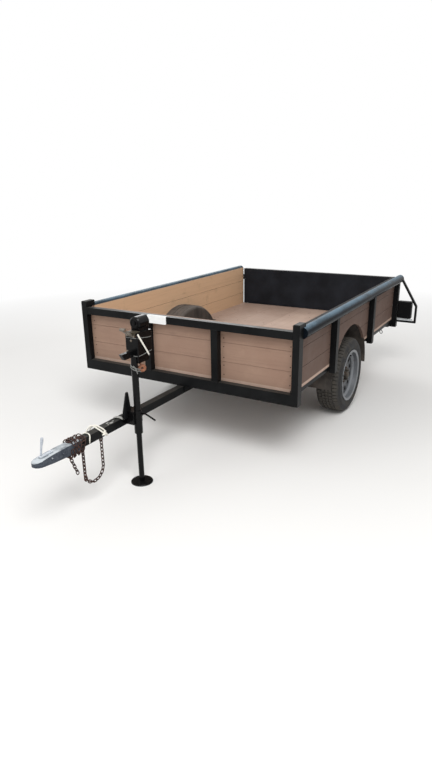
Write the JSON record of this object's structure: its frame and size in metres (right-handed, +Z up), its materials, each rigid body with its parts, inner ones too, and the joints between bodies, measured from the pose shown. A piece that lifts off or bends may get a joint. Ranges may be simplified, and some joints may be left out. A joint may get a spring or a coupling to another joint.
{
  "type": "utility trailer",
  "caption": "Single-axle open utility trailer with painted board walls in a black steel frame, a drop tailgate, round top pipes, tail-lamp guards and a swivel tongue jack.",
  "frame": {"origin": "on the ground under the middle of the whole trailer, level as it stands on its tyres and jack", "axes": "+X forward to the coupler, +Y the trailer's left side, +Z up"},
  "size_m": [3.81, 2.089, 1.035],
  "materials": {
    "black_steel": "semi-gloss, scuffed and dusty",
    "bright_steel": "dull",
    "brown_board": "painted, matte and weathered",
    "chain_steel": "rusty",
    "floor_board": "painted, worn and dusty",
    "galvanised": "weathered zinc",
    "gloss_black": "gloss",
    "hub_steel": "dull",
    "jack_black": "satin",
    "lamp_black": "satin",
    "lens_clear": "gloss",
    "lens_red": "gloss",
    "spring_steel": "dirty",
    "tyre": "dusty",
    "well_steel": "matte, dirty",
    "wheel_silver": "satin"
  },
  "bodies": {
    "frame": {"axle_beam": "spring_steel", "axle_clamps": "spring_steel", "chain_lugs": "black_steel", "coupler": "galvanised", "coupler_latch": "galvanised", "cross_members": "black_steel", "floor_boards": "floor_board", "front_corner_posts": "black_steel", "front_planks": "brown_board", "front_posts": "black_steel", "front_rail": "black_steel", "front_sill": "black_steel", "hinge_knuckles": "black_steel", "jack_mount": "black_steel", "lamp_guards": "black_steel", "lamp_windows": "lens_clear", "leaf_springs": "spring_steel", "main_rails": "black_steel", "outriggers": "black_steel", "rear_corner_posts": "black_steel", "rear_sill": "black_steel", "safety_chains": "chain_steel", "side_boards_left": "brown_board", "side_boards_right": "brown_board", "side_pipe_left": "gloss_black", "side_pipe_right": "gloss_black", "side_posts_left": "black_steel", "side_posts_right": "black_steel", "side_sill_left": "black_steel", "side_sill_right": "black_steel", "spring_hangers": "spring_steel", "tail_lamps": "lamp_black", "tail_lenses": "lens_red", "tailgate_catches": "black_steel", "tongue_beam": "black_steel", "tongue_saddle": "black_steel", "wheel_well_left": "well_steel", "wheel_well_right": "well_steel"},
    "wheel_left": {"tyre_left": "tyre", "rim_left": "wheel_silver", "hub_left": "hub_steel"},
    "wheel_right": {"tyre_right": "tyre", "rim_right": "wheel_silver", "hub_right": "hub_steel"},
    "tailgate": {"tailgate_frame": "black_steel", "tailgate_sheet": "black_steel", "tailgate_leaves": "black_steel", "tailgate_pins": "black_steel"},
    "jack_tube": {"jack_tube": "black_steel", "jack_head": "jack_black", "jack_crank": "bright_steel"},
    "jack_leg": {"jack_leg": "black_steel", "jack_foot": "black_steel"}
  },
  "joints": [
    {"name": "wheel_left_spin", "type": "hinge", "parent": "frame", "child": "wheel_left", "pos_m": [-0.578, 0.745, 0.297], "axis": [0, 1, 0], "continuous": true},
    {"name": "wheel_right_spin", "type": "hinge", "parent": "frame", "child": "wheel_right", "pos_m": [-0.578, -0.745, 0.297], "axis": [0, 1, 0], "continuous": true},
    {"name": "tailgate_drop", "type": "hinge", "parent": "frame", "child": "tailgate", "pos_m": [-1.888, 0, 0.488], "axis": [0, -1, 0], "range_deg": [0, 180]},
    {"name": "jack_swivel", "type": "hinge", "parent": "frame", "child": "jack_tube", "pos_m": [1.185, 0.1, 0.432], "axis": [0, 1, 0], "range_deg": [0, 90]},
    {"name": "jack_slide", "type": "slide", "parent": "jack_tube", "child": "jack_leg", "axis": [0, 0, 1], "range_m": [-0.08, 0.25]}
  ]
}
